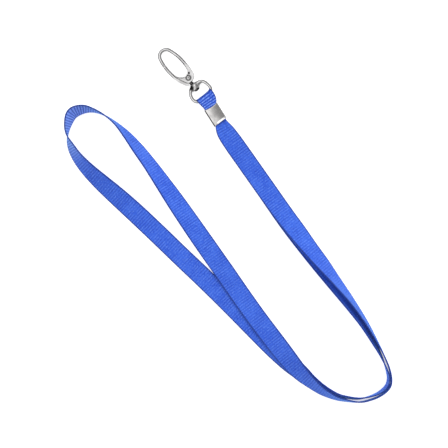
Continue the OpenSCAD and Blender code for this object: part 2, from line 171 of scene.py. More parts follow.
def webbing_material():
    m = MaterialNodes("webbing")
    uv = m.node("ShaderNodeUVMap", uv_map="run")
    split = m.node("ShaderNodeSeparateXYZ")
    m.put(uv.outputs[0], split.inputs[0])
    across, along = split.outputs[0], split.outputs[1]  # 0 to 1 across, metres along
    gather = m.attribute("gather")  # 1 where the ribs stand open
    place = m.node("ShaderNodeTexCoord").outputs["Object"]

    # one rib is one groove and one raised crown; the grooves get painted shade
    waver = m.math("MULTIPLY", m.math("SUBTRACT", m.noise(place, 260.0, 2.0), 0.5), 1.1)
    phase = m.math("ADD", m.math("MULTIPLY", along, math.pi / RIB), waver)
    crown = m.math("ABSOLUTE", m.math("SINE", phase))
    groove_shade = m.ramp(crown, 0.0, 0.7, 1.0, 0.0)
    ridge = m.ramp(crown, 0.72, 0.98)
    # warp yarns, offset by half a yarn from rib to rib
    rib_number = m.math("FLOOR", m.math("DIVIDE", along, RIB))
    offset = m.math("MULTIPLY", m.math("MODULO", rib_number, 2.0), math.pi / 2)
    yarn_phase = m.math("ADD", m.math("MULTIPLY", across, math.pi * YARNS), offset)
    yarn = m.math("ABSOLUTE", m.math("SINE", yarn_phase))
    yarn_gap_shade = m.ramp(yarn, 0.0, 0.55, 1.0, 0.0)
    edge = m.math("MULTIPLY", m.math("ABSOLUTE", m.math("SUBTRACT", across, 0.5)), 2.0)
    selvedge_and_shade = m.ramp(edge, 0.84, 0.95)

    cloudy = m.noise(place, 90.0, 3.0)
    speckle = m.noise(place, 1500.0, 2.0, 0.7)
    colour = m.mix(m.ramp(cloudy, 0.3, 0.7), linear(38, 86, 212), linear(54, 102, 224))
    colour = m.mix(m.ramp(speckle, 0.35, 0.75, 0.0, 0.55), colour, linear(84, 132, 240))
    fleck = m.noise(place, 1050.0, 2.0, 0.6)
    colour = m.mix(m.ramp(fleck, 0.5, 0.72, 0.0, 0.5), colour, linear(26, 58, 184))
    # the neck bend, where the ribs open a little less than in the tab, is made paler: a painted highlight where the
    # tape stands on edge
    neck_bend = m.math("MULTIPLY", gather, m.ramp(gather, 0.86, 0.98, 0.5, 0.0))
    colour = m.mix(neck_bend, colour, linear(140, 172, 240))
    # elsewhere the painted shade of the grooves shows in patches
    patchy = m.ramp(m.noise(place, 150.0, 3.0), 0.35, 0.68, 0.08, 0.6)
    shown = m.math("MAXIMUM", patchy, gather)
    glint = m.math("MULTIPLY", ridge, m.ramp(speckle, 0.42, 0.6))
    glint = m.math("MULTIPLY", glint, m.math("ADD", m.math("MULTIPLY", gather, 0.75), 0.2))
    colour = m.mix(glint, colour, linear(150, 184, 255))
    colour = m.mix(m.math("MULTIPLY", groove_shade, shown), colour, linear(16, 44, 152))
    # painted shade between the warp yarns
    colour = m.mix(m.math("MULTIPLY", yarn_gap_shade, 0.3), colour, linear(20, 56, 172))
    # the selvedges are darker, partly their own yarn and partly painted shade along the tape's edges
    colour = m.mix(m.math("MULTIPLY", selvedge_and_shade, 0.8), colour, linear(20, 42, 122))
    fold_shade = m.math("MULTIPLY", m.attribute("fold_shade"), 0.7)  # painted shade in the fold past the bar and just below the clamp's mouth
    colour = m.mix(fold_shade, colour, linear(12, 30, 112))

    height = m.math("ADD", m.math("MULTIPLY", yarn, 0.6), m.math("MULTIPLY", speckle, 0.8))
    normal = m.bump(height, 0.5, 0.06 * MM)
    rough = m.ramp(speckle, 0.2, 0.8, 0.48, 0.68)
    return m.set(
        Base_Color=colour,
        Roughness=rough,
        Normal=normal,
        Specular_IOR_Level=0.35,
        Sheen_Weight=0.65,
        Sheen_Roughness=0.35,
        Sheen_Tint=linear(112, 176, 255),
    )


# ---- metal materials -------------------------------------------------------------------------------
NOOK_REACH = 1.5 * MM
CLOUDED, SCRATCHED, NOOK_SHADE = 0.86, 0.6, 0.16  # share of the plating's colour that each leaves; the last is painted shade
# white of the painted highlight on the clamp's lip
GLARE_WHITE = (252, 252, 252)


def metal_material(name, colour, rough, scratch_scale, grain):
    """Plated metal: soft cloudiness, fine scratches, a little waviness, and painted shade in crevices and next to the
    floor.

    grain is how much of the waviness is scratches. The mesh may give two numbers for each vertex: one paints
    a bright highlight and the other paints shade.
    """
    def shade(share):
        return linear(*(c * share for c in colour))

    m = MaterialNodes(name)
    nook = m.node("ShaderNodeAmbientOcclusion", samples=8)
    nook.inputs["Distance"].default_value = NOOK_REACH
    place = m.node("ShaderNodeTexCoord").outputs["Object"]
    cloud = m.noise(place, 260.0, 3.0)
    scratch = m.noise(m.stretched(place, scratch_scale), 1.0, 4.0, 0.6)
    tone = m.mix(m.ramp(cloud, 0.3, 0.75), linear(*colour), shade(CLOUDED))
    tone = m.mix(m.ramp(scratch, 0.58, 0.75, 0.0, 0.35), tone, shade(SCRATCHED))
    # painted highlight where the mesh gives it
    tone = m.mix(m.attribute("painted_glare"), tone, linear(*GLARE_WHITE))
    # painted shade: darker where the occlusion node finds other surfaces or the floor close by, and where the mesh
    # gives painted shade
    open_air = m.math("SUBTRACT", m.ramp(nook.outputs["AO"], 0.48, 0.93), m.attribute("painted_shade"), clamp=True)
    tone = m.mix(open_air, shade(NOOK_SHADE), tone)
    roughness = m.ramp(cloud, 0.25, 0.8, rough, rough + 0.08)
    roughness = m.math("ADD", roughness, m.ramp(scratch, 0.5, 0.8, 0.0, 0.12))
    height = m.math("ADD", m.math("MULTIPLY", scratch, grain), m.math("MULTIPLY", cloud, 1.0 - grain))
    return m.set(
        Base_Color=tone,
        Metallic=1.0,
        Roughness=roughness,
        Normal=m.bump(height, 0.35, 0.05 * MM),
    )


WEBBING = webbing_material()
EVEN = (900.0, 900.0, 900.0)  # scratches every way
BRUSHED = (2600.0, 160.0, 900.0)  # scratches along the sheet
NICKEL = metal_material("nickel_cast", (226, 225, 225), 0.14, EVEN, 0.4)
SHEET = metal_material("nickel_sheet", (215, 213, 212), 0.24, BRUSHED, 0.7)
# dark nickel that paints the shade on the swivel's rivet and the hook's neck
SHADE_NICKEL = metal_material("nickel_shade", (96, 95, 96), 0.3, EVEN, 0.4)
WIRE = metal_material("spring_wire", (150, 150, 152), 0.25, EVEN, 0.5)


# ---- mesh helpers ----------------------------------------------------------------------------------
Z = np.array([0, 0, 1.0])


def smooth(t):
    """A smooth step from 0 to 1, for a number or an array."""
    t = np.clip(t, 0.0, 1.0)
    return t * t * (3 - 2 * t)


def new_object(name, verts, faces, material, smooth_angle=40):
    mesh = bpy.data.meshes.new(name)
    mesh.from_pydata([tuple(v) for v in verts], [], [tuple(int(i) for i in f) for f in faces])
    mesh.validate()
    mesh.materials.append(material)
    obj = bpy.data.objects.new(name, mesh)
    bpy.context.scene.collection.objects.link(obj)
    mesh.shade_smooth()
    mesh.set_sharp_from_angle(angle=math.radians(smooth_angle))
    return obj


def skin(rings, closed=False):
    """Quads over a stack of rings of points, with its ends filled unless it closes on itself."""
    rings = np.asarray(rings, float)
    n, m = rings.shape[:2]
    base = np.arange(n * m).reshape(n, m)
    rows = range(n if closed else n - 1)
    faces = []
    for i in rows:
        a, b = base[i], base[(i + 1) % n]
        faces.extend(zip(a, np.roll(a, -1), np.roll(b, -1), b))
    if not closed:
        faces.append(tuple(base[0][::-1]))
        faces.append(tuple(base[-1]))
    return rings.reshape(-1, 3), faces


def vertex_value(obj, name, values):
    """Gives each vertex a number that the material reads."""
    obj.data.attributes.new(name, "FLOAT", "POINT").data.foreach_set("value", values)


def join_parts(parts):
    """One vertex and face list from several."""
    verts, faces, start = [], [], 0
    for v, f in parts:
        verts.extend(v)
        faces.extend(tuple(i + start for i in face) for face in f)
        start += len(v)
    return np.asarray(verts), faces


# ---- webbing route, the same as the CAD model's ----------------------------------------------------
# x, y, height of what lies under it, roll about its own run in degrees, width
ROUTE = [
    (34.03, 57.67, 1.85, 0, 7.2), (32.5, 52, 1.6, 0, 10.5), (31.3, 44, 1.25, 0, 11.5), (29.8, 33, 1.05, 0, 11.6),
    (26.7, 10.5, 1.05, -5, 11.6), (24.5, -6, 1.05, -13, 11.6), (23.1, -20, 1.1, -24, 11.6),
    (22, -32, 1.15, -37, 11.6), (21.3, -43.5, 1.15, -48, 11.6), (20.3, -56, 1.3, -62, 11.6),
    (18.9, -71, 1.3, -74, 11.6), (16.6, -85.5, 1.2, -81, 11.6), (13.6, -98, 1.2, -86, 11.6),
    (10.6, -108, 0, -89, 11.6), (7.6, -115.4, 0, -90, 11.6), (3.6, -121, 0, -90, 11.6),
    (-0.6, -123, 0, -90, 11.6), (-6.4, -122.6, 0, -90, 11.6), (-12.2, -120.5, 0, -90, 11.6),
    (-18, -117, 0, -88, 11.6), (-23.2, -110.8, 1, -83, 11.6), (-26.6, -105.6, 1, -78, 11.6),
    (-29.6, -97.6, 1.2, -67, 11.6), (-31.1, -89, 1.75, -55, 11.6), (-31.7, -81, 1.85, -39, 11.6),
    (-31.4, -72, 1.95, -24, 11.6), (-30.4, -60, 1.7, -10, 11.6), (-28.6, -42, 1.05, 0, 11.6),
    (-26.4, -25, 1, 0, 11.6), (-23.9, -8, 1, 0, 11.6), (-21.7, 8, 1, 3, 11.6), (-19.4, 24, 0.5, 14, 11.6),
    (-17, 40, 0, 25, 11.6), (-14.9, 54, 0, 38, 11.6), (-12.9, 68, 0, 49, 11.6), (-11.7, 80, 0, 57, 11.6),
    (-11, 90, 0, 69, 11.6), (-11.2, 99, 0, 82, 11.6), (-12.7, 107, 0, 90, 11.6), (-15.5, 113.5, 0, 99, 11.6),
    (-19.6, 118.2, 0, 114, 11.6), (-25.6, 120.6, 0, 122, 11.6), (-31.5, 118, 0, 110, 11.6),
    (-36.2, 113.8, 0, 93, 11.6), (-39.1, 108, 0, 72, 11.6), (-41, 100.5, 0, 59, 11.6), (-41.5, 91, 0, 47, 11.6),
    (-40.85, 80, 0, 34, 11.6), (-39.7, 68, 0, 21, 11.6), (-38.5, 54, 0, 9, 11.6), (-37.35, 36, 0, 1, 11.6),
    (-36.3, 16, 0, 0, 11.6), (-35, -6, 0, 0, 11.6), (-34.2, -26, 0, 0, 11.6), (-33.7, -44, 0, 0, 11.6),
    (-33.3, -58, 0, 8, 11.6), (-32.5, -71, 0, 20, 11.6), (-31.4, -81, 0, 37, 11.6), (-30.25, -89, 0, 54, 11.6),
    (-28.3, -97.2, 0, 66, 11.6), (-25.1, -104.8, 0, 77, 11.6), (-21.8, -109.6, 0, 82, 11.6),
    (-16.9, -115.2, 0, 85, 11.6), (-11.2, -118.8, 0, 90, 11.6), (-6, -120.8, 0, 94, 11.6),
    (-0.8, -121.1, 0, 96, 11.6), (2.6, -119.5, 0, 95, 11.6), (5.4, -116.2, 0, 94, 11.6), (9, -107.6, 0, 86, 11.6),
    (11.7, -98, 0, 78, 11.6), (14.4, -85.5, 0, 71, 11.6), (16, -75, 0, 63, 11.6), (17.3, -65, 0, 54, 11.6),
    (18.4, -55, 0, 46, 11.6), (19.6, -44, 0, 37, 11.6), (21.3, -30, 0, 23, 11.6), (22.8, -17, 0, 12, 11.6),
    (24.4, -5, 0, 4, 11.6), (26.7, 10.5, 0, 0, 11.6), (29.8, 33, 0, 0, 11.6), (31.3, 44, 0.2, 0, 11.5),
    (32.5, 52, 0.55, 0, 10.5), (34.03, 57.67, 0.9, 0, 7.2),
]
MIDDLE = np.array([-0.65, 0.25, 0])  # the CAD model's centring shift
TAPE, TAPE_WIDTH = 0.9, 11.6  # thickness and width

BAR = np.array(JOINTS["ring_swing"]["pos_m"]) / MM  # millimetres, as all of this section
BAR_WAY = np.array(JOINTS["ring_swing"]["axis"])  # along the bar, towards the hook's side
BAR_WAY = BAR_WAY / np.linalg.norm(BAR_WAY)
AHEAD = np.array([-BAR_WAY[1], BAR_WAY[0], 0])  # from the bar into the ring
RING_HALF, CORNER_R = 6.25, 3.3  # half the ring's width and its corners, at the middle of its stock
CLAMP_TURN = math.radians(10.5)  # between the clamp and the swivel
CLAMP_TOP, CLAMP_LENGTH = 6.4, 10.8  # the clamp's start, from the bar, and its length
CLAMP_AXIS = np.array([-math.sin(CLAMP_TURN), -math.cos(CLAMP_TURN), 0])  # away from the ring
CLAMP_ACROSS = np.array([math.cos(CLAMP_TURN), -math.sin(CLAMP_TURN), 0])


ROUTE_STEPS = 24  # from one station of the route to the next


def route_frames():
    """Middle, across, normal and width of the webbing, on a smooth curve through the route's stations."""
    p = np.array(ROUTE, float)
    p = np.vstack([2 * p[0] - p[1], p, 2 * p[-1] - p[-2]])
    out = []
    for i in range(1, len(p) - 2):
        a, b, c, d = p[i - 1 : i + 3]
        last = i == len(p) - 3
        for t in np.linspace(0, 1, ROUTE_STEPS + 1)[: None if last else -1]:
            s = (2 * b + (c - a) * t + (2 * a - 5 * b + 4 * c - d) * t**2 + (3 * b - a - 3 * c + d) * t**3) / 2
            v = ((c - a) + 2 * (2 * a - 5 * b + 4 * c - d) * t + 3 * (3 * b - a - 3 * c + d) * t**2) / 2
            run = v[:2] / np.hypot(*v[:2])
            roll = math.radians(s[3])
            lift = s[4] / 2 * abs(math.sin(roll)) + (TAPE / 2 + max(s[2], 0)) * abs(math.cos(roll))
            across = np.array([-run[1] * math.cos(roll), run[0] * math.cos(roll), math.sin(roll)])
            normal = np.array([run[1] * math.sin(roll), -run[0] * math.sin(roll), math.cos(roll)])
            out.append((np.array([s[0], s[1], lift]) - MIDDLE, across, normal, s[4]))
    return out


# inside the clamp, as distances from the bar, and heights over the clamp's middle
TAPE_END, TAPE_START = 11.2, 11.8  # the tape's two ends meet there
GRIP_TOP, GRIP_MOUTH = 7.2, 16.7
GRIP_W, UPPER_Z, LOWER_Z = 7.4, 0.45, -0.5
# the tab between the clamp and the ring's bar
TAB_NEAR, TAB_FAR = 0.25, 6.6
WRAP_R, TUCKED_Z = 1.4, 0.85  # half the tab's thickness at the bar and at the clamp


def tab_sides(l):
    """How far the tab reaches right and left of the clamp's middle line, at l from the bar."""
    far = l / CLAMP_TOP
    # it rides up on the ring's right corner and tucks into the clamp below it
    right = 5.9 - 2.0 * far**3.3
    left = 3.9 + 1.0 * max(1 - far, 0) ** 1.6
    return right, left


def tab_frame(l, side):
    """The tab at l from the bar, below it (side -1) or above it (side 1)."""
    t = smooth(l / CLAMP_TOP)
    lift = WRAP_R + (TUCKED_Z - WRAP_R) * t
    across = -CLAMP_ACROSS * t - BAR_WAY * (1 - t)
    across /= np.linalg.norm(across)
    right, left = tab_sides(l)
    middle = BAR + CLAMP_AXIS * l - across * (right - left) / 2 + Z * lift * side
    return middle, across, -Z * side, right + left


def grip_frames(z, across, normal, distances):
    """A layer of the tape inside the clamp."""
    return [(BAR + CLAMP_AXIS * l + Z * z, across, normal, GRIP_W) for l in distances]


def tape_frames():
    """The whole tape: from the clamp round the route, through the clamp, round the ring's bar and back in."""
    start = grip_frames(UPPER_Z, CLAMP_ACROSS, Z, np.linspace(TAPE_START, GRIP_MOUTH, 14))
    back = grip_frames(LOWER_Z, -CLAMP_ACROSS, Z, np.linspace(GRIP_MOUTH, GRIP_TOP, 24))
    down = [tab_frame(l, -1) for l in np.linspace(TAB_FAR, TAB_NEAR, 26)]
    right, left = tab_sides(0)
    turn = []
    for a in np.linspace(-math.pi / 2, math.pi / 2, 36):
        out = AHEAD * math.cos(a) + Z * math.sin(a)
        turn.append((BAR + out * WRAP_R + BAR_WAY * (right - left) / 2, -BAR_WAY, -out, right + left))
    up = [tab_frame(l, 1) for l in np.linspace(TAB_NEAR, TAB_FAR, 26)]
    end = grip_frames(UPPER_Z, -CLAMP_ACROSS, -Z, np.linspace(GRIP_TOP + 0.2, TAPE_END, 12))
    return start + route_frames() + back + down + turn + up + end


def resample(frames, step):
    """The same tape at even steps of its length, with the length in millimetres."""
    mid = np.array([f[0] for f in frames])
    cols = np.hstack([mid, [f[1] for f in frames], [f[2] for f in frames], [[f[3]] for f in frames]])
    length = np.concatenate([[0], np.cumsum(np.linalg.norm(np.diff(mid, axis=0), axis=1))])
    n = int(length[-1] / step)
    at = np.linspace(0, length[-1], n + 1)
    even = np.stack([np.interp(at, length, cols[:, k]) for k in range(cols.shape[1])], axis=1)
    for k in (3, 6):
        even[:, k : k + 3] /= np.linalg.norm(even[:, k : k + 3], axis=1, keepdims=True)
    return even, at


def both_sides(half, sign):
    """A row of values from its half, middle first; the other half has them times sign."""
    return np.array([sign * v for v in half[:0:-1]] + half)


# columns across one face, -1 to 1, closer together at the selvedges, and half the thickness at each
COLUMNS = both_sides([0, 0.2, 0.4, 0.6, 0.78, 0.89, 0.93, 0.965, 1], -1)
EDGE = both_sides([TAPE / 2] * 5 + [0.36, 0.4, 0.38, 0.26], 1)
RIB_DEPTH = 0.07
RIB_STEPS = 4  # rows of the mesh for each rib
RIB_END, RIB_FADE = 0.94, 0.12  # the ribs stop at the selvedges
BEND_Y, BEND_FADE, BEND_GATHER = 96, 12, 0.85  # the neck bend, where the ribs open
FOLD_Z, FOLD_REACH = 0.42, 7.0  # height of the lengthwise folds at the clamp's mouth, and how far they reach
FOLD_WAVES, FOLD_START = 2.6, 0.5  # folds across the tape, and their phase
TAB_HOLD = 0.4  # how far into the clamp the tab's open ribs go on
CORNER_HOLD = 0.21  # how much of the way the tab follows the ring's corners
RIGHT_HOLD = 1.6  # the right corner's hold, times the left's
HOLD_FADE = 4  # the hold dies out this far behind the bar


def wobble(x, seed):
    """Smooth repeatable unevenness between -1 and 1."""
    return (np.sin(x * 1.7 + seed) + np.sin(x * 0.61 + seed * 2.3) + np.sin(x * 3.1 + seed * 0.7)) / 3


def over_corners(points):
    """Bends the tab's points part of the way round the ring's two corners, which its edges ride up on."""
    local = points - BAR
    x, v = local @ BAR_WAY, local @ AHEAD
    straight = RING_HALF - CORNER_R
    past = np.clip(np.abs(x) - straight, 0, CORNER_R)
    a = past / CORNER_R
    new_x = np.sign(x) * (np.minimum(np.abs(x), straight) + (CORNER_R - v) * np.sin(a))
    new_v = CORNER_R + (v - CORNER_R) * np.cos(a) + CORNER_R - np.sqrt(CORNER_R**2 - past**2)
    share = np.where(x > 0, RIGHT_HOLD, 1.0) * CORNER_HOLD * smooth((v + HOLD_FADE) / HOLD_FADE)
    return points + BAR_WAY * (share * (new_x - x))[..., None] + AHEAD * (share * (new_v - v))[..., None]


def build_webbing():
    even, along = resample(tape_frames(), RIB / MM / RIB_STEPS)
    mid, across, normal, width = even[:, :3], even[:, 3:6], even[:, 6:9], even[:, 9]
    inside = np.clip((RIB_END - np.abs(COLUMNS)) / RIB_FADE, 0, 1)
    rib_number = np.floor(along * MM / RIB)
    crown = np.abs(np.sin(np.pi * along * MM / RIB)) ** 0.75
    in_tab = np.linalg.norm(mid - BAR, axis=1) < CLAMP_TOP + TAB_HOLD
    neck_bend = np.clip((mid[:, 1] - BEND_Y) / BEND_FADE, 0, 1)
    gather = np.where(in_tab, 1.0, BEND_GATHER * neck_bend)
    depth = RIB_DEPTH * (1 + 0.3 * wobble(rib_number * 2.1, 0.4)) * (1 + 1.1 * gather)
    top = np.empty((len(along), len(COLUMNS), 3))
    bottom = np.empty_like(top)
    # the webbing is bunched where the clamp holds it: it stands in lengthwise folds that die out
    bunched = width < TAPE_WIDTH - 0.01
    away = np.linalg.norm(mid - (BAR + CLAMP_AXIS * (CLAMP_TOP + CLAMP_LENGTH)), axis=1)
    fold = FOLD_Z * np.exp(-((away / FOLD_REACH) ** 1.6)) * bunched
    fold[in_tab] = 0
    for k, s in enumerate(COLUMNS):
        wave = np.cos(FOLD_WAVES * math.pi * s + FOLD_START)
        sag = fold * wave * np.sign(normal[:, 2] + 1e-9)
        point = mid + across * (width / 2 * s)[:, None] + normal * sag[:, None]
        half = EDGE[k] - (1 - crown) * depth * inside[k]
        top[:, k] = point + normal * half[:, None]
        bottom[:, k] = point - normal * half[:, None]
    for face in (top, bottom):
        face[in_tab] = over_corners(face[in_tab])
    rings = np.concatenate([top, bottom[:, ::-1]], axis=1) * MM
    obj = new_object("strap_webbing", *skin(rings), WEBBING, 70)
    # u across, v along in metres
    m = rings.shape[1]
    u = np.concatenate([COLUMNS, COLUMNS[::-1]]) / 2 + 0.5
    layer = obj.data.uv_layers.new(name="run")
    loops = np.empty(len(obj.data.loops), int)
    obj.data.loops.foreach_get("vertex_index", loops)
    uv = np.stack([u[loops % m], along[loops // m] * MM], axis=1)
    layer.data.foreach_set("uv", uv.ravel())
    # painted shade: the tab darkened where it turns down past the bar, and the tape just below the clamp's mouth
    past_bar = in_tab * np.clip(((mid - BAR) @ AHEAD - 0.5) / 0.8, 0, 1)
    at_clamp = bunched * ~in_tab * 0.7 * np.clip(1.6 - away, 0, 1)
    vertex_value(obj, "gather", np.repeat(gather, m))
    vertex_value(obj, "fold_shade", np.repeat(past_bar + at_clamp, m))
    return obj, along[-1] * MM


webbing, tape_length = build_webbing()
STRAP_NODES = [n for n in frame["nodes"] if n.startswith("strap_")]
webbing.visible_glossy = False  # the metal doesn't mirror the webbing
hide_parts(*STRAP_NODES)
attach(webbing, "strap")


# ---- clamp -----------------------------------------------------------------------------------------
CLAMP_W, CLAMP_H = 8.7, 3.7
CORNERS = {1: 0.6, -1: 0.8}  # radius of the section's right and left corners
LEAN_X, LEAN = -1.1, 0.02  # the top face bulges most left of its middle
FLARE_L, FLARE_SLOPE = 1.25, 0.13  # length and slope of the mouth's flared lip
FLARE_LEVEL = 0.9  # the bulge is gone this far into the flare
FLARE_X, FLARE_FADE = 1.9, 0.5  # where the flare starts left of the middle, and how soon it is full
MOUTH_SKEW = 0.09  # the mouth is cut askew: longer on the left
TOP_DIP, TOP_DIP_W, TOP_DIP_L = 0.5, 3.9, 3.5  # the hollow of the top edge: depth, half width and length
GLARE_L = 1.3  # length of the lip that gets the painted highlight
LEFT_BEND = CLAMP_W / 2 - 0.65  # the painted shade lies left of this


def clamp_section(grow, l):
    """Points round the clamp's section at l from its top edge, grown outwards by grow."""
    half_w, half_h = CLAMP_W / 2, CLAMP_H / 2
    points, ways = [], []
    for cx, cz, start in ((1, -1, -90), (1, 1, 0), (-1, 1, 90), (-1, -1, 180)):
        r = CORNERS[cx]
        for a in np.radians(np.linspace(start, start + 90, 8)):
            points.append((cx * (half_w - r) + r * math.cos(a), cz * (half_h - r) + r * math.sin(a)))
            ways.append((math.cos(a), math.sin(a)))
        if cx == cz:  # the flat side that follows runs towards -x above and +x below
            ends = cz * (half_w - r), -cz * (half_w - CORNERS[-cx])
            for x in np.linspace(*ends, 26)[1:-1]:
                points.append((x, cz * half_h))
                ways.append((0, cz))
    p, way = np.array(points), np.array(ways)
    x = p[:, 0]
    above = np.clip(p[:, 1] / (half_h - CORNERS[-1]), 0, 1)
    p[:, 1] -= above * LEAN * (x - LEAN_X) ** 2
    # the mouth is flared up on its right where the bunched tape comes out
    out = max(l - (CLAMP_LENGTH - FLARE_L), 0)
    rise = out * FLARE_SLOPE + min(out / FLARE_LEVEL, 1) * LEAN * (x - LEAN_X) ** 2
    p[:, 1] += above * rise * np.clip((x + FLARE_X) / FLARE_FADE, 0, 1)
    return p + way * grow


def build_clamp():
    # outside from top to mouth, round the lip, and back up the inside: distance and growth
    outside = [(0, -0.2), (0.08, -0.07), (0.24, 0), (0.8, 0), (2, 0), (4, 0), (6.5, 0), (8.9, 0), (9.35, 0),
               (9.52, 0), (9.6, 0), (9.8, 0), (10.2, 0), (10.6, 0), (10.71, -0.03), (10.78, -0.1), (10.8, -0.2)]
    inside = [(10.77, -0.36), (10.6, -0.47), (10, -0.5), (5.2, -0.5), (0.5, -0.5), (0.16, -0.46), (0.02, -0.34)]
    rings = []
    for l, grow in outside + inside:
        p = clamp_section(grow, l)
        x, z = p[:, :1], p[:, 1:]
        # the top edge is hollowed out a little for the bulging tab
        dip = TOP_DIP * np.clip(1 - (x / TOP_DIP_W) ** 2, 0, 1) * (z > 0) * (1 - smooth(l / TOP_DIP_L))
        dip = dip - MOUTH_SKEW * x * smooth((l - 5) / 4.2)
        rings.append(BAR + CLAMP_AXIS * (CLAMP_TOP + l + dip) + CLAMP_ACROSS * x + Z * z)
    verts, faces = skin(np.array(rings) * MM, closed=True)
    obj = new_object("clamp_sleeve", verts, faces, SHEET, 50)
    left = -((verts / MM - BAR) @ CLAMP_ACROSS)
    down = (verts / MM - BAR) @ CLAMP_AXIS - CLAMP_TOP
    on_lip = down - MOUTH_SKEW * left - (CLAMP_LENGTH - GLARE_L)
    # painted shade on the clamp's left side
    vertex_value(obj, "painted_shade", smooth((left - LEFT_BEND) / 0.2))
    # painted highlight on the flared lip
    vertex_value(obj, "painted_glare", smooth(on_lip / 0.25) * smooth((FLARE_X - left) / FLARE_FADE))
    return obj


clamp = build_clamp()
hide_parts("crimp")
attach(clamp, "strap")

# ---- ring, rivet and hook: shared shapes -----------------------------------------------------------
PLATE_H = 1.85  # half the thickness of the hardware, which lies on the table


def lathe(profile, n=48, axis="Z"):
    """Verts and faces of a turned piece; profile is (radius, height) from one pole to the other."""
    rings = []
    for r, h in profile:
        a = np.linspace(0, 2 * math.pi, n, endpoint=False)
        x, y, z = np.cos(a) * max(r, 1e-4), np.sin(a) * max(r, 1e-4), np.full(n, float(h))
        rings.append(np.stack([x, y, z] if axis == "Z" else [y, z, x], axis=1))
    return skin(rings)


def rounded(a, b, n, power):
    """Points round a section of half sizes a and b, between an ellipse and a rectangle."""
    t = np.linspace(0, 2 * math.pi, n, endpoint=False)
    c, s = np.cos(t), np.sin(t)
    x, y = (np.sign(v) * np.abs(v) ** (2 / power) for v in (c, s))
    return np.stack([a * x, b * y], axis=1)


def bar_ring(x, y, a, half_w, half_h, power, n=28):
    """One section of a bar at x, y; a is the direction outwards in radians."""
    sec = rounded(half_w, half_h, n, power)
    return np.stack([x + sec[:, 0] * math.cos(a), y + sec[:, 0] * math.sin(a), -sec[:, 1]], axis=1)


def bar_sweep(line, power=2.15):
    """A bar along a line of (x, y, direction outwards, half width, half height)."""
    return skin([bar_ring(*row, power=power) for row in line])


def plate(outline, holes, low, high, bevel):
    """A flat plate between two heights with rounded edges and through holes."""
    curve = bpy.data.curves.new("plate", "CURVE")
    curve.dimensions = "2D"
    curve.fill_mode = "BOTH"
    curve.extrude = (high - low) / 2 - bevel
    curve.bevel_depth = bevel
    curve.bevel_resolution = 2
    curve.offset = -bevel
    for ring in [outline, *holes]:
        s = curve.splines.new("POLY")
        s.points.add(len(ring) - 1)
        s.points.foreach_set("co", np.array([(x, y, 0, 1) for x, y in ring], float).ravel())
        s.use_cyclic_u = True
    obj = bpy.data.objects.new("plate", curve)
    bpy.context.scene.collection.objects.link(obj)
    mesh = obj.to_mesh()
    verts = np.array([v.co[:] for v in mesh.vertices]) + [0, 0, (low + high) / 2]
    faces = [tuple(p.vertices) for p in mesh.polygons]
    obj.to_mesh_clear()
    bpy.data.objects.remove(obj)
    bpy.data.curves.remove(curve)
    return verts, faces


def circle(x, y, r):
    around = np.linspace(0, 2 * math.pi, 40, endpoint=False)
    return [(x + r * math.cos(a), y + r * math.sin(a)) for a in around]


def arc(middle, r, start, end, n):
    """Points of an arc between two angles in degrees."""
    x, y = middle
    return [(x + r * math.cos(a), y + r * math.sin(a)) for a in np.radians(np.linspace(start, end, n))]


def finish_piece(name, parts, at, material, body, nodes, angle=35):
    """One object from parts in millimetres about a point of the frame."""
    verts, faces = join_parts(parts)
    obj = new_object(name, (verts + at) * MM, faces, material, angle)
    if nodes:
        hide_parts(*nodes)
    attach(obj, body)


# ---- D-ring ----------------------------------------------------------------------------------------
RING_R, ARCH_Y = 0.9, 3.4  # half the stock's thickness, and where the arch begins
RING_TURN = math.degrees(math.atan2(-BAR_WAY[1], BAR_WAY[0]))
BOSS_IN, BOSS_OUT, BOSS_W = 6.8, 10.55, 5.4  # the boss's two ends, from the bar, and its width
BOSS_REACH, ARCH_FADE = 50, 40  # degrees from the boss where the arch starts to change, and over which it does
SWIVEL_R, FIT = 0.9, 0.05  # the rivet's shank and the gap round it
ARCH_SPREAD, SPREAD_FROM, SPREAD_TO = 0.65, 10, 84  # how much more the arch stands out, between two angles
CAST_GRAIN = 0.075 * MM  # voxels that melt the stock and the boss into one casting


def ring_line():
    """The ring's stock, once round from the middle of the bar, in the ring's own turned frame."""
    corner_x = RING_HALF - CORNER_R
    line = [(x, 0, -math.pi / 2, RING_R, RING_R) for x in np.linspace(0, corner_x, 8)[:-1]]
    line += [(corner_x + CORNER_R * math.cos(a), CORNER_R + CORNER_R * math.sin(a), a, RING_R, RING_R)
             for a in np.linspace(-math.pi / 2, 0, 11)[:-1]]
    line += [(RING_HALF, y, 0, RING_R, RING_R) for y in np.linspace(CORNER_R, ARCH_Y, 4)[:-1]]
    left = [(-x, y, math.pi - a, w, h) for x, y, a, w, h in line[:0:-1]]
    arch = []
    for a in np.linspace(0, math.pi, 61):
        turned = math.degrees(a)
        # the arch grows inwards to the swivel boss
        grow = smooth((BOSS_REACH - abs(turned - 90 - RING_TURN)) / ARCH_FADE)
        # and it stands out on the boss's right, short of the hook's neck
        spread = ARCH_SPREAD * smooth((turned - SPREAD_FROM) / ARCH_FADE) * smooth((SPREAD_TO - turned) / ARCH_FADE)
        outer = RING_HALF + RING_R + spread
        inner = outer - 2 * RING_R - grow * (outer - 2 * RING_R - (BOSS_IN - ARCH_Y))
        mid_r, half_w = (outer + inner) / 2, (outer - inner) / 2
        arch.append((mid_r * math.cos(a), ARCH_Y + mid_r * math.sin(a), a, half_w, RING_R + 0.3 * grow))
    return line + arch + left


def applied(obj):
    """Applies every modifier of obj."""
    mesh = bpy.data.meshes.new_from_object(obj.evaluated_get(bpy.context.evaluated_depsgraph_get()))
    old = obj.data
    obj.modifiers.clear()
    obj.data = mesh
    bpy.data.meshes.remove(old)


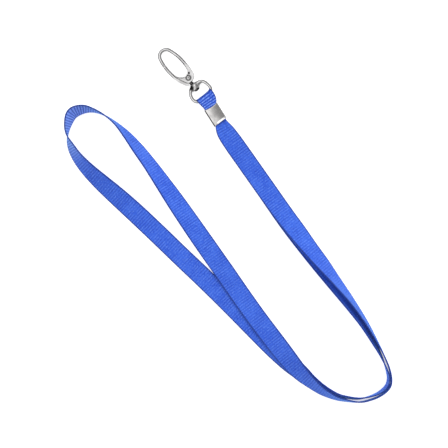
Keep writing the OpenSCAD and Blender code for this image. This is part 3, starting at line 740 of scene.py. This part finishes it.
def boss():
    """A barrel round the swivel axis, flattened above and below."""
    r = BOSS_W / 2
    profile = [(0, BOSS_IN), (r - 0.9, BOSS_IN), (r - 0.4, BOSS_IN + 0.1), (r - 0.1, BOSS_IN + 0.45),
               (r, BOSS_IN + 1.2), (r, BOSS_OUT - 1.6), (r - 0.3, BOSS_OUT - 0.8), (r - 0.8, BOSS_OUT - 0.25),
               (r - 1.2, BOSS_OUT), (0, BOSS_OUT)]
    barrel = []
    for radius, y in profile:
        radius = max(radius, 0.01)
        section = rounded(radius, radius * (PLATE_H - 0.02) / r, 40, 2.3)
        barrel.append(np.stack([section[:, 0], np.full(40, y), -section[:, 1]], axis=1))
    return skin(barrel)


def build_ring():
    stock, stock_faces = skin([bar_ring(*q, power=2.1, n=24) for q in ring_line()], closed=True)
    stock = stock[:, :1] * BAR_WAY + stock[:, 1:2] * AHEAD + stock[:, 2:] * Z
    verts, faces = join_parts([(stock, stock_faces), boss()])
    obj = new_object("ring_cast", verts * MM, faces, NICKEL)
    remesh = obj.modifiers.new("cast", "REMESH")
    remesh.mode = "VOXEL"
    remesh.voxel_size = CAST_GRAIN
    soften = obj.modifiers.new("soften", "SMOOTH")
    soften.iterations = 16
    soften.factor = 0.5
    applied(obj)
    verts, faces = lathe([(SWIVEL_R + FIT, BOSS_IN - 1), (SWIVEL_R + FIT, BOSS_OUT + 1)], 40, "Y")
    cutter = new_object("bore_cutter", verts * MM, faces, NICKEL)
    bore = obj.modifiers.new("bore", "BOOLEAN")
    bore.operation = "DIFFERENCE"
    bore.solver = "EXACT"
    bore.object = cutter
    applied(obj)
    bpy.data.objects.remove(cutter)
    obj.data.transform(Matrix.Translation(Vector(BAR * MM)))
    obj.data.materials.clear()
    obj.data.materials.append(NICKEL)
    obj.data.shade_smooth()
    obj.data.set_sharp_from_angle(angle=math.radians(50))
    # painted shade on the boss below the hook's neck, on its left side
    spot = BAR + [-1.9, BOSS_OUT - 1.3, 1.2]
    apart = np.array([math.dist(v.co, spot * MM) for v in obj.data.vertices]) / MM
    vertex_value(obj, "painted_shade", smooth((2.5 - apart) / 1.6))
    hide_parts("d_ring")
    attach(obj, "ring")


build_ring()

# ---- swivel rivet ----------------------------------------------------------------------------------
SWIVEL_GAP = 0.08
HOOK = BAR + [0, BOSS_OUT + SWIVEL_GAP, 0]  # the hook's foot on the swivel axis
HEAD_Y = BOSS_IN - SWIVEL_GAP  # where the rivet's head starts
SHANK_Y = BOSS_OUT + SWIVEL_GAP + 1.9  # and where its shank ends in the hook's foot
head = [(0, 0.93), (0.5, 0.94), (0.95, 0.9), (1.35, 0.72), (1.62, 0.48), (1.74, 0.3), (1.75, 0.12), (1.68, 0.02),
        (1.5, 0), (SWIVEL_R, 0)]
rivet = [(r, HEAD_Y - depth) for r, depth in head] + [(SWIVEL_R, SHANK_Y), (0, SHANK_Y)]
# the rivet in dark nickel: painted shade
finish_piece("rivet_swivel", [lathe(rivet, 48, "Y")], BAR, SHADE_NICKEL, "hook", ["swivel_rivet"], angle=50)

# ---- hook ------------------------------------------------------------------------------------------
HOOK_L, HOOK_HALF = 27.2, 5.15  # the oval's length, and half its width at the middle of the bar
HOOK_R, HOOK_H = 0.95, 1.06  # half the bar's width and height
WIDE_Y, TIP_R, LOWER_R = 14.4, 3.9, 30.0  # the widest point, and the radii of the tip and of the lower sides
TIP_Y = HOOK_L - HOOK_R - TIP_R
UPPER_R = (HOOK_HALF**2 + (TIP_Y - WIDE_Y) ** 2 - TIP_R**2) / (2 * (HOOK_HALF - TIP_R))
UPPER_A = math.atan2(TIP_Y - WIDE_Y, UPPER_R - HOOK_HALF)
# where the hook's bar ends and the gate's begins, in degrees above the widest point, and the two tongues that lap
NOSE_A, GATE_A = 9.3, 7.2
NOSE_TONGUE, GATE_TONGUE = (10.2, 7.98), (8.95, 6.8)
TONGUE_POWER = 3.2  # squarer in section than the bar
CHEEK_T = 0.8
TOP = PLATE_H - 0.05  # the cheeks' outer face
FORK = TOP - CHEEK_T  # half the space between the cheeks
PIN, PIN_R = np.array([0.9, 4.2]), 0.7
PIN_AT = HOOK + [*PIN, 0]
RECESS_R, RECESS_D = 1.68, 0.55  # the pin's head lies in a round recess this wide and deep
EYE, EYE_R = (0.1, 9.8), 3.9
ANCHOR = np.array([3.0, 6.1])  # the hole for the spring's leg


def side_line(s, low, high, n, half_w=HOOK_R, half_h=HOOK_H):
    """One side of the oval between two angles in degrees; s is 1 right and -1 left."""
    out = []
    for c in np.radians(np.linspace(low, high, n + 1)):
        r = LOWER_R if c < 0 else UPPER_R
        x, y = s * (HOOK_HALF - r + r * math.cos(c)), WIDE_Y + r * math.sin(c)
        out.append((x, y, c if s > 0 else math.pi - c, half_w, half_h))
    return out


def tip_line(n):
    return [(TIP_R * math.cos(c), TIP_Y + TIP_R * math.sin(c), c, HOOK_R, HOOK_H)
            for c in np.linspace(UPPER_A, math.pi - UPPER_A, n + 1)[1:-1]]


def outer_side(s, low, high, lip=0.0, swell=0.0, n=12):
    """Points along the oval's lower outer edge; the lip comes out of the bar over the first few."""
    out = []
    for k, c in enumerate(np.radians(np.linspace(low, high, n))):
        r = LOWER_R + HOOK_R - 0.5 + (0.5 + lip) * smooth(k / 3) + swell * k / n
        out.append((s * (HOOK_HALF - LOWER_R + r * math.cos(c)), WIDE_Y - r * math.sin(c)))
    return out


def cheek_outline():
    """Down the bar's right side, round the foot, up to the left side and back along the eye."""
    return (
        [(HOOK_HALF + 0.1, 13.4)]
        + outer_side(1, 4, 19, swell=0.5)
        + [(4.45, 3.2), (3.8, 2.4), (2.8, 1.9), (1.9, 1.55), (0.6, 1.45), (-0.7, 1.6), (-1.6, 2.25), (-2.2, 3.6)]
        + [(-3.0, 5.6), (-4.0, 8.3), (-4.3, 9.9), (-4.2, 11.8)]
        + arc(EYE, EYE_R, 176, 344, 30)
        + [(4.15, 10.6), (4.6, 12.4)]
    )


def build_hook():
    # the right side deepens to the thickness of the fork
    upper_a = math.degrees(UPPER_A)
    path = [(x, y, a, w, h + (TOP - 0.03 - h) * smooth((19.5 - y) / 7.0))
            for x, y, a, w, h in side_line(1, -14, 0, 18) + side_line(1, 0, upper_a, 14)[1:]]
    path += tip_line(40) + side_line(-1, upper_a, NOSE_A, 8)
    # the nose ends in a tongue that laps the gate's
    tongue = [(x - 0.5, y, a, w, h) for x, y, a, w, h in side_line(-1, *NOSE_TONGUE, 3, 0.42)]
    parts = [bar_sweep(path), bar_sweep(tongue, TONGUE_POWER)]
    # each cheek is a plate with the pin's recess over a plate with its bore; the upper has the spring's hole
    outline = cheek_outline()
    anchor = circle(*ANCHOR, 0.55)
    recess_z = TOP - RECESS_D
    for side, holes in ((1, [anchor]), (-1, [])):
        for hole, low, high, bevel in ((RECESS_R, recess_z, TOP, 0.2), (PIN_R, FORK, recess_z + 0.1, 0.05)):
            low, high = sorted((side * low, side * high))
            parts.append(plate(outline, [circle(*PIN, hole), *holes], low, high, bevel))
    # the solid core that joins the cheeks, clear of the gate's hub and plate
    core = [(HOOK_HALF - 0.75, 11.0)] + outer_side(1, 8, 19, -0.05)
    core += [(3.8, 3.2), (3.0, 2.1), (1.9, 1.6), (-1.2, 1.7), (-1.6, 2.1), (0.9, 2.1)]
    core += arc(PIN, 2.05, -88, 88, 22) + arc(EYE, EYE_R + 0.05, 286, 336, 12)
    parts.append(plate(core, [], -FORK - 0.1, FORK + 0.1, 0.04))
    finish_piece("hook_body", parts, HOOK, NICKEL, "hook", ["hook_frame"])


def build_neck():
    """The round neck under the hook's foot, which the rivet is set in."""
    profile = [(0, 0), (1.05, 0), (1.2, 0.1), (1.22, 0.3), (1.08, 0.5), (1.08, 1.3), (1.25, 2), (1.25, 2.2), (0, 2.2)]
    # the neck in dark nickel: painted shade between the hook's foot and the boss
    finish_piece("hook_neck", [lathe(profile, 36, "Y")], HOOK, SHADE_NICKEL, "hook", [])


build_neck()
build_hook()


def build_gate():
    # the bar gets thinner where it runs into the thumb plate
    line = side_line(-1, GATE_A, 0, 8, HOOK_R, 1.04) + side_line(-1, 0, -8, 6, HOOK_R, 1.0)[1:]
    thinning = enumerate(side_line(-1, -8.6, -13, 5))
    line += [(x, y, a, w, 1.0 - 0.12 * smooth(k / 5)) for k, (x, y, a, w, _) in thinning]
    tongue = [(x + 0.44, y, a, w, h) for x, y, a, w, h in side_line(-1, *GATE_TONGUE, 3, 0.4, 1.04)]
    parts = [bar_sweep(line), bar_sweep(tongue, TONGUE_POWER)]
    outline = (
        [(PIN[0] - 0.85, PIN[1] + 1.65), (-1.2, 6.5), (-3, 8.2), (-4, 10.2), (-4.9, 12.2)]
        + outer_side(-1, 5, 17)
        + [(-3.9, 3.1), (-3.35, 2.05), (-2.8, 1.4), (-2.4, 1.1), (-2.05, 1.1), (-1.85, 1.45), (-1.8, 2.3)]
        + arc(PIN, 1.9, 238, 475, 30)
    )
    for low, high in ((-0.9, -0.52), (0.52, 0.9)):
        parts.append(plate(outline, [circle(*PIN, PIN_R + FIT)], low, high, 0.1))
    # the two plates are one with the bar, away from the pin
    inner = [p for p in outline if math.dist(p, PIN) > 3.3]
    parts.append(plate(inner, [], -0.6, 0.6, 0.04))
    finish_piece("gate_lever", parts, HOOK, NICKEL, "gate", ["gate"])


build_gate()

pin = [(0, -TOP + 0.02), (1.3, -TOP + 0.04), (1.43, -TOP + 0.12), (1.43, -TOP + 0.33), (PIN_R, -TOP + 0.34),
       (PIN_R, TOP - 0.44), (1.2, TOP - 0.43), (1.24, TOP - 0.3), (1.12, TOP - 0.12), (0.85, TOP), (0.5, TOP + 0.06),
       (0.32, TOP), (0.25, TOP - 0.15), (0, TOP - 0.17)]
finish_piece("pin_gate", [lathe(pin)], PIN_AT, NICKEL, "hook", ["gate_pin"], angle=50)

COIL_R, WIRE_R, COIL_H = 1.05, 0.16, 0.76
GATE_LEG, GATE_LEG_A = 2.7, math.radians(150)  # reach of the leg on the gate, and where the coil leaves it


def build_spring():
    """Three turns round the pin, with one leg on the gate and the other in the hole in the cheek."""
    to_anchor = math.atan2(*(ANCHOR - PIN)[::-1])
    leg = math.dist(ANCHOR, PIN)
    end = to_anchor + 6 * math.pi
    a = GATE_LEG_A + 0.14
    points = [(GATE_LEG * math.cos(a), GATE_LEG * math.sin(a), COIL_H / 2)]
    for t in np.linspace(0, 1, 90):
        a = GATE_LEG_A + (end - GATE_LEG_A) * t
        points.append((COIL_R * math.cos(a), COIL_R * math.sin(a), COIL_H / 2 - COIL_H * t))
    c, s = math.cos(to_anchor), math.sin(to_anchor)
    points += [((leg - 0.2) * c, (leg - 0.2) * s, -0.25), (leg * c, leg * s, 0.05), (leg * c, leg * s, 1.3)]
    points = np.array(points)
    tangents = np.gradient(points, axis=0)
    tangents /= np.linalg.norm(tangents, axis=1, keepdims=True)
    around = np.linspace(0, 2 * math.pi, 10, endpoint=False)[:, None]
    rings = []
    for p, t in zip(points, tangents):
        u = np.cross(t, Z if abs(t[2]) < 0.9 else [-c, -s, 0])
        u /= np.linalg.norm(u)
        rings.append(p + WIRE_R * (np.cos(around) * u + np.sin(around) * np.cross(t, u)))
    coil = [skin(rings)]
    finish_piece("spring_gate", coil, PIN_AT, WIRE, "hook", ["gate_spring"], 60)


build_spring()

# ---- floor, lights and world -----------------------------------------------------------------------
floor_mat = MaterialNodes("floor")
floor_mat.set(
    Base_Color=(0.9, 0.9, 0.9, 1.0),
    Roughness=0.9,
    Specular_IOR_Level=0.0,
    Emission_Color=(1, 1, 1, 1),
    Emission_Strength=0.6,
)
# the metal mirrors a dimmer floor, as it would with black cards round the set
card = floor_mat.node("ShaderNodeEmission")
card.inputs["Color"].default_value = (0.14, 0.14, 0.15, 1)
choose = floor_mat.node("ShaderNodeMixShader")
mirrored_ray = floor_mat.node("ShaderNodeLightPath").outputs["Is Glossy Ray"]
floor_mat.put(mirrored_ray, choose.inputs[0])
floor_mat.put(floor_mat.shader.outputs[0], choose.inputs[1])
floor_mat.put(card.outputs[0], choose.inputs[2])
floor_mat.put(choose.outputs[0], floor_mat.tree.nodes["Material Output"].inputs["Surface"])
FLOOR_HALF, FLOOR_Z = 2.0, -0.05 * MM
floor = new_object(
    "floor",
    [(x * FLOOR_HALF, y * FLOOR_HALF, FLOOR_Z) for x, y in ((-1, -1), (1, -1), (1, 1), (-1, 1))],
    [(0, 1, 2, 3)],
    floor_mat.material,
)


def area_light(name, right, up, height, size, power):
    """A soft light placed by the picture's right and up, pointed at the lanyard."""
    light = bpy.data.lights.new(name, "AREA")
    light.shape = "DISK"
    light.size = size
    light.energy = power
    obj = bpy.data.objects.new(name, light)
    bpy.context.scene.collection.objects.link(obj)
    obj.location = Vector(RIGHT * right + UP * up + Z * height)
    obj.rotation_euler = (-obj.location).to_track_quat("-Z", "Y").to_euler()
    obj.visible_glossy = False  # the metal mirrors the sky's panels instead


area_light("key", right=1.1, up=0.7, height=0.9, size=1.0, power=12)
area_light("side", right=-0.9, up=0.3, height=1.3, size=0.9, power=4)

world = bpy.data.worlds.new("studio")
bpy.context.scene.world = world
world.use_nodes = True
sky = Nodes(world.node_tree)
way = sky.node("ShaderNodeTexCoord").outputs["Generated"]
split = sky.node("ShaderNodeSeparateXYZ")
sky.put(way, split.inputs[0])
height = split.outputs[2]
sideways = sky.node("ShaderNodeVectorMath", operation="DOT_PRODUCT")
sky.put(way, sideways.inputs[0])
sky.put(tuple(RIGHT), sideways.inputs[1])
ray = sky.node("ShaderNodeLightPath").outputs
fill = sky.ramp(height, 0.0, 0.7, 0.34, 0.78)  # what lights the cloth
# what the metal mirrors: a bright left side, dark cards below that, and a long light wall lower still
panel = sky.ramp(sideways.outputs["Value"], -0.1, 0.165, 1.43, 0.33)
drop = sky.ramp(height, 0.48, 0.86, 0.12, 1.0)
low = sky.ramp(height, 0.0, 0.22, 0.3, 0.85)
wall = sky.math("MULTIPLY", low, sky.ramp(height, 0.36, 0.52, 1.0, 0.1))
mirrored = sky.math("MAXIMUM", sky.math("MULTIPLY", panel, drop), wall)
lit = sky.mix_values(ray["Is Glossy Ray"], fill, mirrored)
shown = sky.mix_values(ray["Is Camera Ray"], lit, 1.0)  # and the camera sees plain white
sky.put(shown, sky.tree.nodes["Background"].inputs["Color"])

bpy.context.scene.view_settings.view_transform = "Standard"
bpy.context.scene.view_settings.look = "None"
